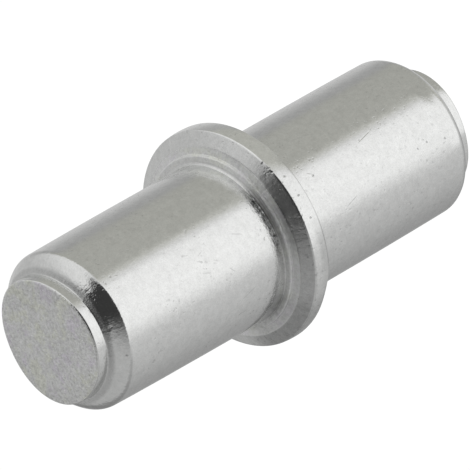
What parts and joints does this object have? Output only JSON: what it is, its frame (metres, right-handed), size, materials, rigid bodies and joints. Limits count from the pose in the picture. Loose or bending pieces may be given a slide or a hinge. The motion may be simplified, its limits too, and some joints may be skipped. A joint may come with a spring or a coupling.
{
  "type": "shelf support pin",
  "caption": "Round steel shelf pin with a thin crowned collar between plain shanks, which end in crowned shoulders and short flat noses.",
  "frame": {"origin": "centre of the flat nose at the panel side's tip, on which the pin stands", "axes": "+Z along the pin's axis, from the panel side through the collar to the shelf side; X and Y are free, because the pin is round"},
  "size_m": [0.0068, 0.0068, 0.0156],
  "materials": {
    "zinc_plate": "bright zinc plating, satin, over cold-headed steel"
  },
  "bodies": {
    "root": {"support_pin": "zinc_plate"}
  },
  "joints": []
}
